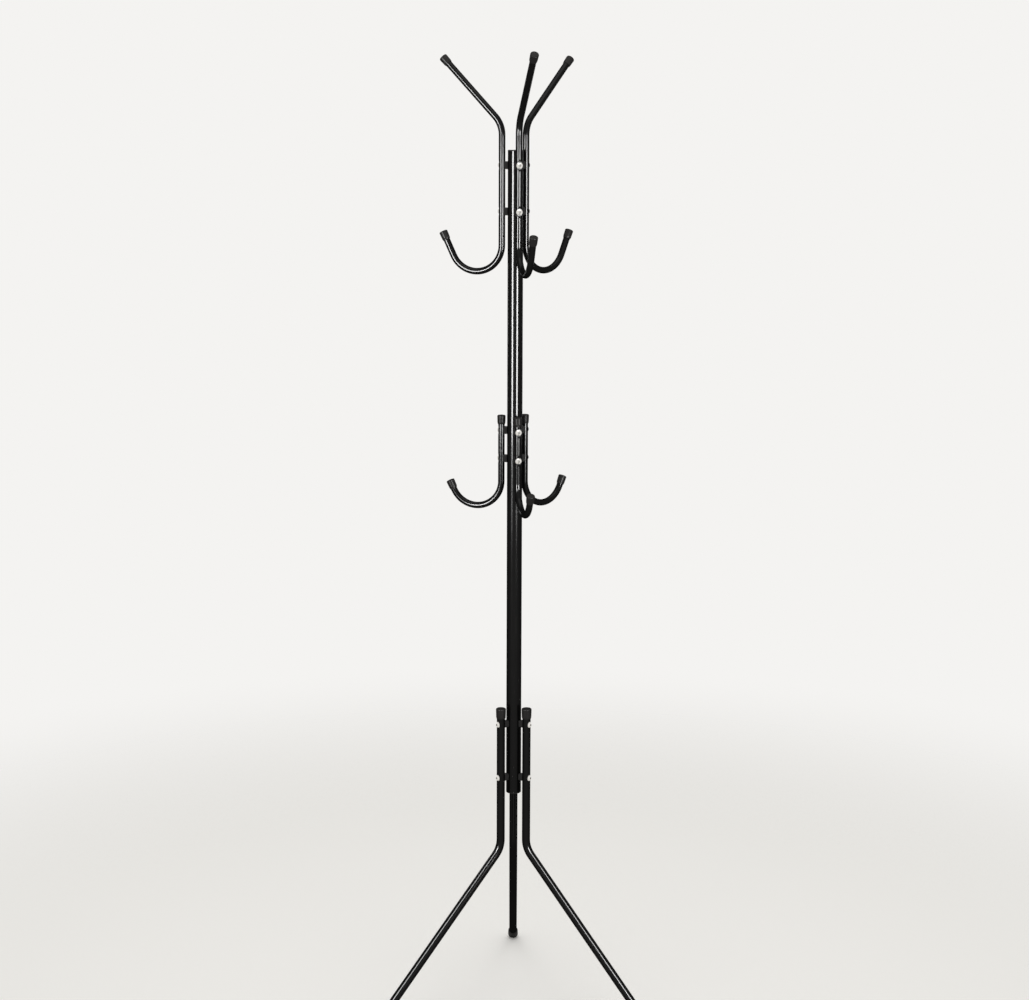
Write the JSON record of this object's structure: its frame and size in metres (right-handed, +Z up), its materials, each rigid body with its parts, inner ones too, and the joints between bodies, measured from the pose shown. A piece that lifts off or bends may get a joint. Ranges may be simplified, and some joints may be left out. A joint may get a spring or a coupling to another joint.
{
  "type": "standing coat rack",
  "caption": "Free-standing steel-tube coat rack: a straight pole on splayed legs, with long hooks and slanting arms at the top and short hooks halfway up.",
  "frame": {"origin": "on the floor, straight under the pole's axis", "axes": "+Z up along the pole, +Y from the pole towards the back leg, +X to the right as seen from the front"},
  "size_m": [0.5342, 0.4654, 1.7876],
  "materials": {
    "black_powder_coat": "gloss black powder coat",
    "black_cap_plastic": "satin moulded black plastic",
    "black_spacer_plastic": "matt moulded black plastic",
    "foot_rubber": "matt black rubber",
    "bright_plated_steel": "bright plated",
    "plain_steel": "plain zinc-plated"
  },
  "bodies": {
    "base": {"leg_back": "black_powder_coat", "leg_back_foot": "foot_rubber", "leg_back_top_cap": "black_cap_plastic", "leg_bolts": "bright_plated_steel", "leg_left": "black_powder_coat", "leg_left_foot": "foot_rubber", "leg_left_top_cap": "black_cap_plastic", "leg_right": "black_powder_coat", "leg_right_foot": "foot_rubber", "leg_right_top_cap": "black_cap_plastic", "leg_rivet_nuts": "plain_steel", "leg_spacers": "black_spacer_plastic", "lower_pole": "black_powder_coat", "pole_bottom_plug": "black_cap_plastic"},
    "top": {"middle_hook_bolts": "bright_plated_steel", "middle_hook_front": "black_powder_coat", "middle_hook_front_head_cap": "black_cap_plastic", "middle_hook_front_tip_cap": "black_cap_plastic", "middle_hook_left": "black_powder_coat", "middle_hook_left_head_cap": "black_cap_plastic", "middle_hook_left_tip_cap": "black_cap_plastic", "middle_hook_right": "black_powder_coat", "middle_hook_right_head_cap": "black_cap_plastic", "middle_hook_right_tip_cap": "black_cap_plastic", "middle_hook_rivet_nuts": "plain_steel", "middle_hook_spacers": "black_spacer_plastic", "pole_top_plug": "black_cap_plastic", "top_hook_bolts": "bright_plated_steel", "top_hook_front": "black_powder_coat", "top_hook_front_arm_cap": "black_cap_plastic", "top_hook_front_tip_cap": "black_cap_plastic", "top_hook_left": "black_powder_coat", "top_hook_left_arm_cap": "black_cap_plastic", "top_hook_left_tip_cap": "black_cap_plastic", "top_hook_right": "black_powder_coat", "top_hook_right_arm_cap": "black_cap_plastic", "top_hook_right_tip_cap": "black_cap_plastic", "top_hook_rivet_nuts": "plain_steel", "top_hook_spacers": "black_spacer_plastic", "upper_pole": "black_powder_coat"}
  },
  "joints": [
    {"name": "pole_swivel", "type": "hinge", "parent": "base", "child": "top", "pos_m": [0, 0, 1.002], "axis": [0, 0, 1], "continuous": true}
  ]
}
